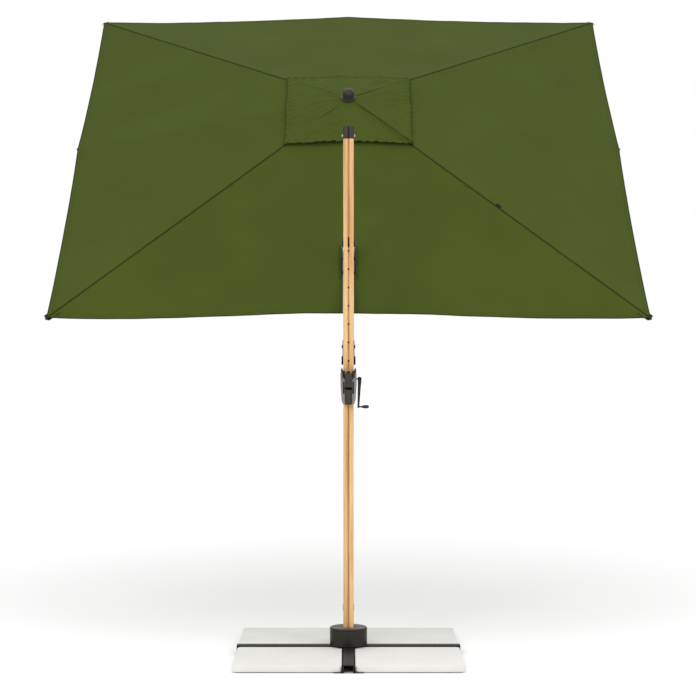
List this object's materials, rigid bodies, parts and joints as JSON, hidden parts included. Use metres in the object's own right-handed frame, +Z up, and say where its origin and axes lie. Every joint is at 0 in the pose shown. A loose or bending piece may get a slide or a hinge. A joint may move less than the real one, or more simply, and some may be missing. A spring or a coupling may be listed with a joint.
{
  "type": "cantilever patio umbrella with cross base",
  "caption": "Square tilted canopy on a boom that slides and swings on a freestanding two-lobed mast, with a crank, fold-up ribs and a slab-weighted steel cross base.",
  "frame": {"origin": "on the floor on the mast's axis, at the underside of the centre block", "axes": "+X to the right seen from the front of the mast, +Y from the mast towards the canopy, +Z up"},
  "size_m": [3.0184, 3.3369, 3.4225],
  "materials": {
    "steel_black": "black powder coat",
    "steel_zinc": "zinc plated",
    "concrete": "cast concrete paving",
    "wood_look_aluminium": "aluminium tube with a light wood-grain film",
    "taupe_plastic": "moulded, dark taupe",
    "cover_plastic": "moulded, dark grey-brown",
    "grey_gloss_plastic": "glossy grey metallic",
    "white_plastic": "nylon",
    "black_plastic": "moulded, black",
    "aluminium_dark": "dark bronze powder coat",
    "canopy_fabric": "woven olive polyester"
  },
  "bodies": {
    "base": {"cross_bar_long": "steel_black", "cross_bars_side": "steel_black", "centre_block": "steel_black", "centre_plate": "steel_black", "swivel_spigot": "steel_black", "base_bolts": "steel_zinc", "paving_slabs": "concrete"},
    "mast": {"mast_tube": "wood_look_aluminium", "mast_foot": "aluminium_dark", "swivel_bush": "white_plastic", "base_cover": "cover_plastic", "mast_cap": "taupe_plastic", "strut_bolt": "steel_zinc", "pedal_bracket": "aluminium_dark"},
    "pedal": {"foot_pedal": "taupe_plastic"},
    "carriage": {"slider_sleeve": "white_plastic", "housing_left": "grey_gloss_plastic", "housing_right": "grey_gloss_plastic", "housing_panel": "taupe_plastic", "hinge_block": "aluminium_dark", "carriage_fasteners": "steel_zinc"},
    "latch_lever": {"latch_lever": "taupe_plastic"},
    "latch_pin": {"latch_pin": "steel_zinc"},
    "crank": {"crank_arm": "aluminium_dark", "winding_drum": "white_plastic", "crank_cap": "taupe_plastic"},
    "crank_knob": {"crank_knob": "black_plastic"},
    "strut": {"strut_tube": "aluminium_dark", "strut_fork": "aluminium_dark"},
    "boom": {"boom_tube": "aluminium_dark", "boom_root": "aluminium_dark", "strut_saddle": "aluminium_dark", "head_bracket": "aluminium_dark", "upper_hub": "black_plastic", "finial_base": "taupe_plastic", "finial_dome": "taupe_plastic", "vent_cap": "canopy_fabric"},
    "cord_pulley": {"cord_pulley": "white_plastic"},
    "runner": {"lower_hub": "black_plastic"},
    "rib_near_right": {"rib_near_right": "aluminium_dark", "gore_near_right": "canopy_fabric"},
    "stay_near_right": {"stay_near_right": "aluminium_dark"},
    "rib_far_right": {"rib_far_right": "aluminium_dark", "gore_far_right": "canopy_fabric"},
    "stay_far_right": {"stay_far_right": "aluminium_dark"},
    "rib_far_left": {"rib_far_left": "aluminium_dark", "gore_far_left": "canopy_fabric"},
    "stay_far_left": {"stay_far_left": "aluminium_dark"},
    "rib_near_left": {"rib_near_left": "aluminium_dark", "gore_near_left": "canopy_fabric"},
    "stay_near_left": {"stay_near_left": "aluminium_dark"},
    "rib_right": {"rib_right": "aluminium_dark", "gore_right": "canopy_fabric"},
    "stay_right": {"stay_right": "aluminium_dark"},
    "rib_far": {"rib_far": "aluminium_dark", "gore_far": "canopy_fabric"},
    "stay_far": {"stay_far": "aluminium_dark"},
    "rib_left": {"rib_left": "aluminium_dark", "gore_left": "canopy_fabric"},
    "stay_left": {"stay_left": "aluminium_dark"}
  },
  "joints": [
    {"name": "mast_swivel", "type": "hinge", "parent": "base", "child": "mast", "pos_m": [0, 0, 0.1], "axis": [0, 0, 1], "continuous": true},
    {"name": "foot_pedal_press", "type": "hinge", "parent": "mast", "child": "pedal", "pos_m": [0, 0.062, 0.185], "axis": [-1, 0, 0], "range_deg": [0, 20], "stiffness_Nm_per_rad": 0.8, "springref_deg": -28.65},
    {"name": "canopy_swing", "type": "slide", "parent": "mast", "child": "carriage", "axis": [0, 0, 1], "range_m": [-0.1, 0.74]},
    {"name": "boom_hinge", "type": "hinge", "parent": "carriage", "child": "boom", "pos_m": [0, 0.08, 1.398], "axis": [1, 0, 0], "range_deg": [-42, 9]},
    {"name": "strut_hinge", "type": "hinge", "parent": "mast", "child": "strut", "pos_m": [0, 0.062, 2.476], "axis": [1, 0, 0], "range_deg": [-7, 30]},
    {"name": "latch_squeeze", "type": "hinge", "parent": "carriage", "child": "latch_lever", "pos_m": [0, -0.07, 1.2], "axis": [1, 0, 0], "range_deg": [0, 18], "stiffness_Nm_per_rad": 0.3, "springref_deg": -22.92},
    {"name": "latch_pin_slide", "type": "slide", "parent": "carriage", "child": "latch_pin", "axis": [0, -1, 0], "range_m": [0, 0.0115]},
    {"name": "canopy_fold", "type": "slide", "parent": "boom", "child": "runner", "axis": [0, 0.5962, -0.8028], "range_m": [0, 1.3], "deforming": ["gore_near_right", "gore_far_right", "gore_far_left", "gore_near_left", "gore_right", "gore_far", "gore_left", "vent_cap"]},
    {"name": "crank_turn", "type": "hinge", "parent": "carriage", "child": "crank", "pos_m": [0, -0.06, 1.315], "axis": [1, 0, 0], "continuous": true},
    {"name": "crank_knob_spin", "type": "hinge", "parent": "crank", "child": "crank_knob", "pos_m": [0.06, -0.06, 1.183], "axis": [1, 0, 0], "continuous": true},
    {"name": "pulley_spin", "type": "hinge", "parent": "boom", "child": "cord_pulley", "pos_m": [0, 1.51729, 2.58672], "axis": [1, 0, 0], "continuous": true},
    {"name": "rib_near_right_hinge", "type": "hinge", "parent": "boom", "child": "rib_near_right", "pos_m": [0.03889, 1.35489, 2.74015], "axis": [0.7071, 0.5677, 0.4216], "range_deg": [0, 78]},
    {"name": "stay_near_right_hinge", "type": "hinge", "parent": "rib_near_right", "child": "stay_near_right", "pos_m": [0.59481, 0.98748, 2.30248], "axis": [-0.7071, -0.5677, -0.4216], "range_deg": [0, 151]},
    {"name": "rib_far_right_hinge", "type": "hinge", "parent": "boom", "child": "rib_far_right", "pos_m": [0.03889, 1.41734, 2.78653], "axis": [-0.7071, 0.5677, 0.4216], "range_deg": [0, 78]},
    {"name": "stay_far_right_hinge", "type": "hinge", "parent": "rib_far_right", "child": "stay_far_right", "pos_m": [0.59481, 1.94253, 3.01176], "axis": [0.7071, -0.5677, -0.4216], "range_deg": [0, 151]},
    {"name": "rib_far_left_hinge", "type": "hinge", "parent": "boom", "child": "rib_far_left", "pos_m": [-0.03889, 1.41734, 2.78653], "axis": [-0.7071, -0.5677, -0.4216], "range_deg": [0, 78]},
    {"name": "stay_far_left_hinge", "type": "hinge", "parent": "rib_far_left", "child": "stay_far_left", "pos_m": [-0.59481, 1.94253, 3.01176], "axis": [0.7071, 0.5677, 0.4216], "range_deg": [0, 151]},
    {"name": "rib_near_left_hinge", "type": "hinge", "parent": "boom", "child": "rib_near_left", "pos_m": [-0.03889, 1.35489, 2.74015], "axis": [0.7071, -0.5677, -0.4216], "range_deg": [0, 78]},
    {"name": "stay_near_left_hinge", "type": "hinge", "parent": "rib_near_left", "child": "stay_near_left", "pos_m": [-0.59481, 0.98748, 2.30248], "axis": [-0.7071, 0.5677, 0.4216], "range_deg": [0, 151]},
    {"name": "rib_right_hinge", "type": "hinge", "parent": "boom", "child": "rib_right", "pos_m": [0.055, 1.38612, 2.76334], "axis": [0, 0.8028, 0.5962], "range_deg": [0, 76]},
    {"name": "stay_right_hinge", "type": "hinge", "parent": "rib_right", "child": "stay_right", "pos_m": [0.84137, 1.48551, 2.6295], "axis": [0, -0.8028, -0.5962], "range_deg": [0, 151]},
    {"name": "rib_far_hinge", "type": "hinge", "parent": "boom", "child": "rib_far", "pos_m": [0, 1.43027, 2.79613], "axis": [-1, 0, 0], "range_deg": [0, 76]},
    {"name": "stay_far_hinge", "type": "hinge", "parent": "rib_far", "child": "stay_far", "pos_m": [0, 2.16098, 3.13115], "axis": [1, 0, 0], "range_deg": [0, 151]},
    {"name": "rib_left_hinge", "type": "hinge", "parent": "boom", "child": "rib_left", "pos_m": [-0.055, 1.38612, 2.76334], "axis": [0, -0.8028, -0.5962], "range_deg": [0, 76]},
    {"name": "stay_left_hinge", "type": "hinge", "parent": "rib_left", "child": "stay_left", "pos_m": [-0.84137, 1.48551, 2.6295], "axis": [0, 0.8028, 0.5962], "range_deg": [0, 151]}
  ],
  "couplings": [
    {"joint": "boom_hinge", "follows": "canopy_swing", "rad_per_m": -0.91302},
    {"joint": "strut_hinge", "follows": "canopy_swing", "rad_per_m": 0.63181},
    {"joint": "latch_pin_slide", "follows": "latch_squeeze", "m_per_rad": 0.026},
    {"joint": "crank_turn", "follows": "canopy_fold", "rad_per_m": -66.667},
    {"joint": "pulley_spin", "follows": "canopy_fold", "rad_per_m": -90.909},
    {"joint": "rib_near_right_hinge", "follows": "canopy_fold", "rad_per_m": 1.0263},
    {"joint": "stay_near_right_hinge", "follows": "canopy_fold", "rad_per_m": 2.0056},
    {"joint": "rib_far_right_hinge", "follows": "canopy_fold", "rad_per_m": 1.0263},
    {"joint": "stay_far_right_hinge", "follows": "canopy_fold", "rad_per_m": 2.0056},
    {"joint": "rib_far_left_hinge", "follows": "canopy_fold", "rad_per_m": 1.0263},
    {"joint": "stay_far_left_hinge", "follows": "canopy_fold", "rad_per_m": 2.0056},
    {"joint": "rib_near_left_hinge", "follows": "canopy_fold", "rad_per_m": 1.0263},
    {"joint": "stay_near_left_hinge", "follows": "canopy_fold", "rad_per_m": 2.0056},
    {"joint": "rib_right_hinge", "follows": "canopy_fold", "rad_per_m": 0.99391},
    {"joint": "stay_right_hinge", "follows": "canopy_fold", "rad_per_m": 2.0042},
    {"joint": "rib_far_hinge", "follows": "canopy_fold", "rad_per_m": 0.99391},
    {"joint": "stay_far_hinge", "follows": "canopy_fold", "rad_per_m": 2.0042},
    {"joint": "rib_left_hinge", "follows": "canopy_fold", "rad_per_m": 0.99391},
    {"joint": "stay_left_hinge", "follows": "canopy_fold", "rad_per_m": 2.0042}
  ]
}
